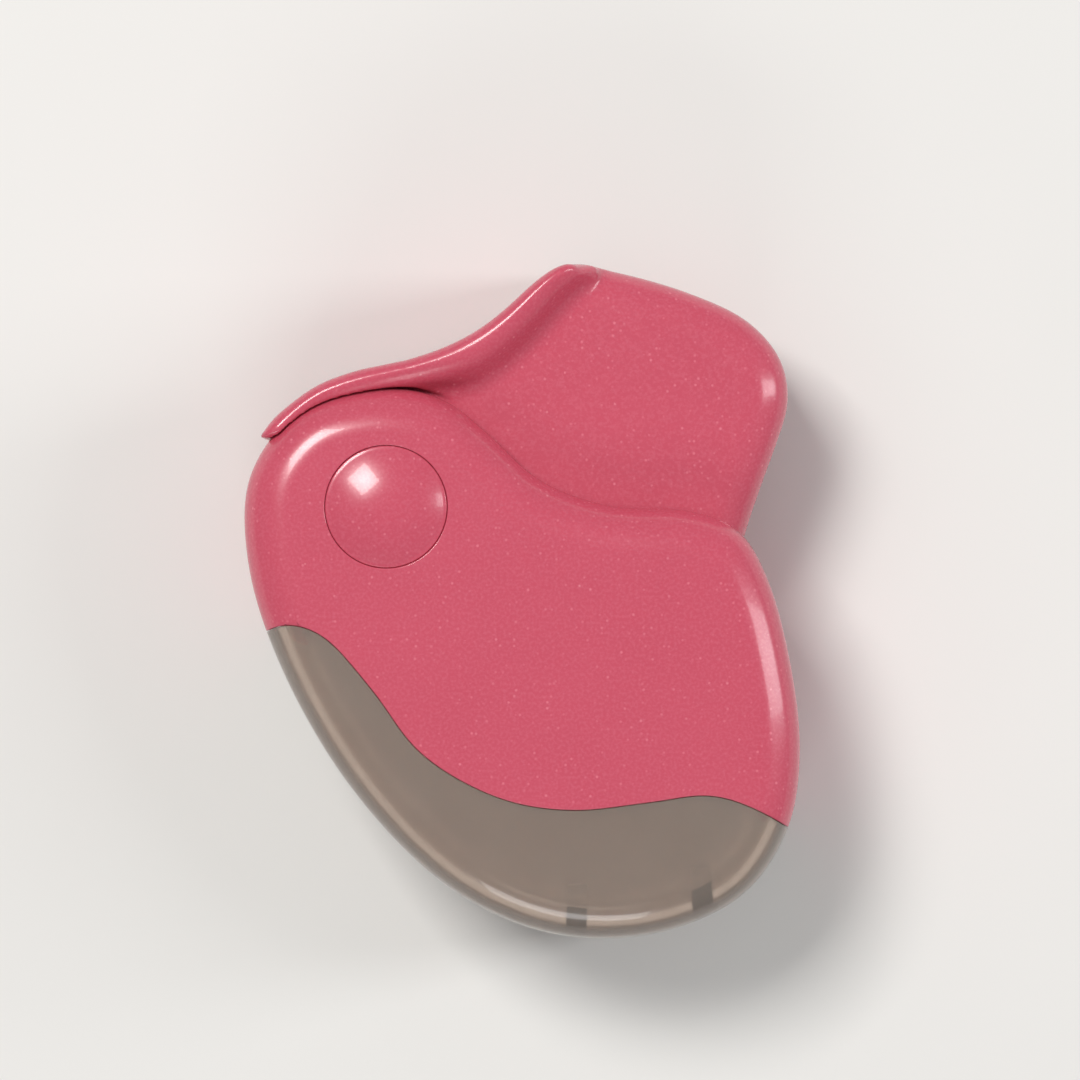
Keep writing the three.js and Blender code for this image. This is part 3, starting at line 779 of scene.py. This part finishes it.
def skinned(field, low, cell):
    """Points, faces and normals of the field's zero surface, one point to each cell that it crosses."""
    cells = tuple(n - 1 for n in field.shape)
    total, count = np.zeros((*cells, 3)), np.zeros(cells)
    crossings = []
    for axis in range(3):
        a = np.take(field, range(cells[axis]), axis)
        b = np.take(field, range(1, cells[axis] + 1), axis)
        crossed = (a < 0) != (b < 0)
        along = np.where(crossed, a / np.where(crossed, a - b, 1), 0)
        crossings.append((crossed, a < 0))
        others = [i for i in range(3) if i != axis]
        for shift in product((0, 1), repeat=2):
            pick = [slice(None)] * 3
            for i, s in zip(others, shift):
                pick[i] = slice(s, s + cells[i])
            hit = crossed[tuple(pick)]
            count += hit
            total[..., axis] += along[tuple(pick)]
            for i, s in zip(others, shift):
                total[..., i] += hit * s
    used = count > 0
    number = np.cumsum(used.ravel()).reshape(cells) - 1
    at = np.argwhere(used) + total[used] / count[used][:, None]

    faces = []
    for axis, (crossed, outward) in enumerate(crossings):
        u, v = (axis + 1) % 3, (axis + 2) % 3
        edges = np.argwhere(crossed)
        corners = []
        for du, dv in ((-1, -1), (0, -1), (0, 0), (-1, 0)):
            spot = edges.copy()
            spot[:, u] += du
            spot[:, v] += dv
            corners.append(number[tuple(spot.T)])
        quads = np.column_stack(corners)
        backward = ~outward[crossed]
        quads[backward] = quads[backward][:, ::-1]
        faces.append(quads)

    normals = np.column_stack([sampled(slope, at) for slope in np.gradient(field)])
    normals /= np.linalg.norm(normals, axis=1)[:, None]
    return low + cell * at, np.vstack(faces), normals


def sampled(grid, at):
    """The grid's value at places between its points."""
    base = np.floor(at).astype(int)
    part = at - base
    value = np.zeros(len(at))
    for corner in product((0, 1), repeat=3):
        weight = np.prod(np.where(corner, part, 1 - part), axis=1)
        value += weight * grid[tuple((base + corner).T)]
    return value


def make_lever(pink):
    """The lever's surface, with normals from the field so that it shades smoothly."""
    node_low, node_high = box_mm("lever")
    low = np.array(node_low) - 2 * CELL
    steps = [np.arange(0, high - start + 3 * CELL, CELL) for start, high in zip(low, node_high)]
    x, y, z = np.meshgrid(*[start + step for start, step in zip(low, steps)], indexing="ij", sparse=True)
    points, faces, normals = skinned(lever_field(x, y, z), low, CELL)
    lever = object_from(points.tolist(), faces.tolist())
    lever.data.shade_smooth()
    lever.data.normals_split_custom_set_from_vertices(normals.tolist())
    finished(lever, "thumb_lever", pink, "thumb_lever", "pink_plastic", "lever", faceted=False)


# ---- Caps, screws, spring ------------------------------------------------------------------------

def make_caps(pink):
    """A domed cap in the front cheek and a flat one in the rear cheek, each with a softened rim."""
    r, soft, stem = CAP_R - 0.01, 0.22, 2.7
    quarter = np.linspace(0, math.pi / 2, 8)
    seat, rim = CAP_LOW.z + CAP_SEAT, DEPTH - 0.12
    edge = [(r - soft * (1 - math.cos(a)), rim - soft * (1 - math.sin(a))) for a in quarter]
    bulge = CAP_HIGH.z - SKIN - rim
    inward = np.linspace(0, 1, 26)[1:]
    crown = [(edge[-1][0] * (1 - t), rim + bulge * t * (2 - t)) for t in inward]
    front = lathe([(0, CAP_LOW.z), (stem, CAP_LOW.z), (stem, seat), (r, seat), *edge, *crown])

    low, high = box_mm("pivot_cap_rear")
    face = high.z - CAP_SEAT
    edge = [(r - soft * (1 - math.sin(a)), low.z + soft * (1 - math.cos(a))) for a in quarter]
    rear = lathe([(0, low.z), *edge, (r, face), (stem, face), (stem, high.z), (0, high.z)])
    caps = ((front, "domed_cap", "pivot_cap_front"), (rear, "flat_cap", "pivot_cap_rear"))
    for cap, name, node in caps:
        placed(cap, Matrix.Translation((PIVOT.x, PIVOT.y, 0)))
        finished(cap, name, pink, "housing", "pink_plastic", node)


def make_screws(steel):
    """Cross-recess self-tapping screws, heads in the rear cheek's counterbores."""
    head_r, dome, head_end = 2.02, 0.75, 1.4
    core_r, tip_r, tip = 0.78, 0.15, 1.2
    thread, thread_start, thread_end, pitch = 0.27, 2.4, 1.8, 0.9
    slot_half, slot_width_half, slot_end = 1.15, 0.27, 0.85
    ridge_section = [(-0.2, -0.3), (thread, -0.04), (thread, 0.04), (-0.2, 0.3)]
    quarter = np.linspace(0, math.pi / 2, 10)[1:]
    for node in SCREW_NODES:
        low, high = box_mm(node)
        length = high.z - low.z
        head = [(head_r * math.sin(a), dome * (1 - math.cos(a))) for a in quarter]
        shank = [(head_r, head_end), (core_r, head_end), (core_r, length - tip), (tip_r, length)]
        screw = lathe([(0, 0), *head, *shank, (0, length)], 72)
        turns = int((length - thread_start - thread_end) / pitch)
        heights = [thread_start + pitch * i / COIL_STEPS for i in range(COIL_STEPS * turns + 1)]
        joined(screw, coil(ridge_section, core_r, heights))
        for a, b in ((slot_half, slot_width_half), (slot_width_half, slot_half)):
            cut(screw, block((-a, a), (-b, b), (-1, slot_end)))
        rounded_edges(screw, 0.04, 2)
        placed(screw, Matrix.Translation((*centre_mm(node).xy, low.z)))
        finished(screw, "cheek_" + node[6:], steel, "housing", "bright_steel", node)


def make_spring(steel):
    """A compression spring along Y, its end turns closed."""
    turns, wire, closed_pitch = 7, 0.38, 0.8
    radius = (SPRING_HIGH.z - SPRING_LOW.z) / 2 - wire
    length = SPRING_HIGH.y - SPRING_LOW.y - 2 * wire
    at_turn = [0, 1, turns - 1, turns]
    height_at = [0, closed_pitch, length - closed_pitch, length]
    along = [i / COIL_STEPS for i in range(COIL_STEPS * turns + 1)]
    heights = [float(height) for height in np.interp(along, at_turn, height_at)]
    spring = coil(circle(0, 0, wire, 14), radius, heights)
    placed(spring, Matrix.Translation((SPRING.x, SPRING_LOW.y + wire, SPRING.z)) @ ALONG_Y)
    finished(spring, "lever_spring", steel, "housing", "bright_steel", "return_spring")
    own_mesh(spring)


def finish_steel(steel, ground, cast):
    """Softens the edges of the CAD's metal pieces and gives them their finish."""
    edge_m, sharp = 0.00006, math.radians(40)
    finishes = {
        "pivot_pin": steel, "punch_drive_pin": steel, "paper_fence": steel, "punch": ground,
        "die_plate": ground, "punch_guide": cast,
        "die_screw_1": steel, "die_screw_2": steel, "die_dowel_1": steel, "die_dowel_2": steel,
    }
    for node, material in finishes.items():
        obj = frame["nodes"][node]
        obj.data.materials.clear()
        obj.data.materials.append(material)
        bevel = obj.modifiers.new("edges", "BEVEL")
        bevel.width = edge_m
        bevel.segments = 2
        bevel.limit_method = "ANGLE"
        bevel.angle_limit = sharp


# ---- Stage ---------------------------------------------------------------------------------------

def make_floor():
    """A pale floor 6 m across, which only the renders show."""
    half = 3
    corners = [(-half, -half, 0), (half, -half, 0), (half, half, 0), (-half, half, 0)]
    floor = object_from(corners, [(0, 1, 2, 3)], "floor")
    look = Look("floor_paint", Roughness=0.7)
    look.feed("Base Color", look.mix(look.noise(40, 3), (0.80, 0.79, 0.77), (0.83, 0.82, 0.80)))
    floor.data.materials.append(look.material)


def area_light(name, place, target, size, power, colour=(1, 1, 1)):
    """A rectangular light at place, facing target. Metres and watts."""
    light = bpy.data.lights.new(name, "AREA")
    light.shape = "RECTANGLE"
    light.size, light.size_y = size
    light.energy = power
    light.color = colour
    obj = bpy.data.objects.new(name, light)
    obj.location = place
    obj.rotation_euler = (Vector(target) - Vector(place)).to_track_quat("-Z", "Y").to_euler()
    bpy.context.scene.collection.objects.link(obj)


def make_lights():
    centre = (0, 0, 0.012)
    area_light("key", (-0.32, 0.36, 0.80), centre, (0.30, 0.30), 5.6, (1, 0.985, 0.96))
    area_light("side", (0.62, 0.10, 0.40), centre, (0.14, 0.5), 1.7, (0.97, 0.985, 1))
    area_light("low", (-0.1, -0.7, 0.45), centre, (0.5, 0.2), 1.2)
    world = bpy.data.worlds.new("studio")
    world.use_nodes = True
    world.node_tree.nodes["Background"].inputs["Color"].default_value = (1, 1, 1, 1)
    world.node_tree.nodes["Background"].inputs["Strength"].default_value = 0.27
    bpy.context.scene.world = world


def make_camera():
    """Straight down on the front cheek. The view is 108 mm wide at the height of the cheek's outline."""
    frame_width, outline_height, height = 0.108, 0.021, 0.62
    sensor_mm = 36
    camera = bpy.data.cameras.new("camera")
    camera.sensor_width = sensor_mm
    camera.lens = sensor_mm * (height - outline_height) / frame_width
    obj = bpy.data.objects.new("camera", camera)
    obj.location = (0.00175, 0.00615, height)
    bpy.context.scene.collection.objects.link(obj)
    bpy.context.scene.camera = obj


# ---- Assembly ------------------------------------------------------------------------------------

pink = pink_plastic()
smoke = smoke_plastic()
bright = metal("bright_steel", (0.52, 0.53, 0.55), (0.68, 0.69, 0.71), (0.2, 0.32), 0.15, (8, 1, 1))
ground = metal("tool_steel", (0.36, 0.37, 0.39), (0.50, 0.51, 0.53), (0.26, 0.4), 0.12, (1, 14, 1))
cast = metal("cast_zinc", (0.40, 0.41, 0.43), (0.52, 0.53, 0.55), (0.42, 0.6), 0.5, (1, 1, 1))

make_shells(pink)
make_tray(smoke)
make_lever(pink)
make_caps(pink)
make_screws(bright)
make_spring(bright)
finish_steel(bright, ground, cast)
make_floor()
make_lights()
make_camera()
bpy.context.scene.view_settings.view_transform = "Standard"
